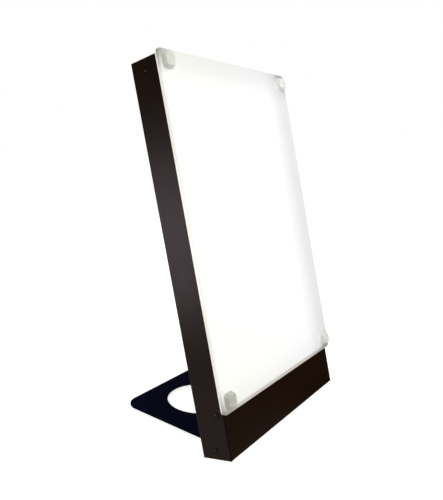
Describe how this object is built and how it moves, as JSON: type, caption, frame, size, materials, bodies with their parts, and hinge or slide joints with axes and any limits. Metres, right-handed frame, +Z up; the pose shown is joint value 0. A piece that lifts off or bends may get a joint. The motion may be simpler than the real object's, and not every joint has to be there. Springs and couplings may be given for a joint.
{
  "type": "light therapy lamp",
  "caption": "Leaning light therapy lamp: slim folded-steel housing with a lit opal front panel and corner bumpers, on a fold-out foot plate with a round hole, tilted by side knobs.",
  "frame": {"origin": "on the table under the middle of the whole lamp's outline seen from above", "axes": "+Z up, +Y towards the back (the foot plate's free end), the lit face looks towards -Y, +X is to the right of someone who looks at the lit face"},
  "size_m": [0.324, 0.2648, 0.5668],
  "materials": {
    "housing_paint": "fine-textured satin powder coat, brown-black",
    "foot_paint": "smooth satin powder coat, blue-black",
    "screw_black": "black-coated domed screw",
    "rubber": "matt black rubber",
    "opal_acrylic": "opal acrylic, satin, lit from behind",
    "clear_acrylic": "clear acrylic with polished edges",
    "clear_bumper": "frosted clear elastomer",
    "zinc_steel": "zinc-plated steel",
    "bright_aluminium": "bright rolled aluminium",
    "spring_steel": "spring steel",
    "lamp_glass": "phosphor-coated glass, white",
    "white_plastic": "white moulded plastic",
    "black_plastic": "black moulded plastic",
    "rocker_plastic": "black satin plastic",
    "brass": "nickel-plated brass contact"
  },
  "bodies": {
    "foot": {"foot_plate": "foot_paint", "foot_pads": "rubber"},
    "housing": {"back_screws": "screw_black", "ballast_case": "zinc_steel", "ballast_terminals": "white_plastic", "bracket_screws": "screw_black", "bumper_high_left": "clear_bumper", "bumper_high_right": "clear_bumper", "bumper_low_left": "clear_bumper", "bumper_low_right": "clear_bumper", "diffuser_panel": "opal_acrylic", "friction_washer_left": "white_plastic", "friction_washer_right": "white_plastic", "hinge_bracket_left": "foot_paint", "hinge_bracket_right": "foot_paint", "holder_shelf": "zinc_steel", "inlet_pins": "brass", "inlet_socket": "black_plastic", "lamp_clip_1": "spring_steel", "lamp_clip_2": "spring_steel", "lamp_clip_3": "spring_steel", "lamp_holder_1": "white_plastic", "lamp_holder_2": "white_plastic", "lamp_holder_3": "white_plastic", "lower_cover": "housing_paint", "panel_screws": "zinc_steel", "pivot_nut_left": "zinc_steel", "pivot_nut_right": "zinc_steel", "rear_tray": "housing_paint", "reflector": "bright_aluminium", "side_screws": "screw_black", "switch_bezel": "black_plastic", "top_cap": "housing_paint", "tube_base_1": "white_plastic", "tube_base_2": "white_plastic", "tube_base_3": "white_plastic", "twin_tube_1": "lamp_glass", "twin_tube_2": "lamp_glass", "twin_tube_3": "lamp_glass", "uv_filter": "clear_acrylic"},
    "rocker": {"switch_rocker": "rocker_plastic"},
    "left_knob": {"tilt_knob_left": "black_plastic", "knob_stud_left": "zinc_steel"},
    "right_knob": {"tilt_knob_right": "black_plastic", "knob_stud_right": "zinc_steel"}
  },
  "joints": [
    {"name": "housing_tilt", "type": "hinge", "parent": "foot", "child": "housing", "pos_m": [0, -0.06974, 0.02363], "axis": [1, 0, 0], "range_deg": [-74.6, 5]},
    {"name": "rocker_press", "type": "hinge", "parent": "housing", "child": "rocker", "pos_m": [0.138, -0.07175, 0.06153], "axis": [1, 0, 0], "range_deg": [-16, 0]},
    {"name": "left_knob_turn", "type": "hinge", "parent": "housing", "child": "left_knob", "pos_m": [-0.1, -0.06974, 0.02363], "axis": [1, 0, 0], "continuous": true},
    {"name": "right_knob_turn", "type": "hinge", "parent": "housing", "child": "right_knob", "pos_m": [0.1, -0.06974, 0.02363], "axis": [1, 0, 0], "continuous": true}
  ]
}
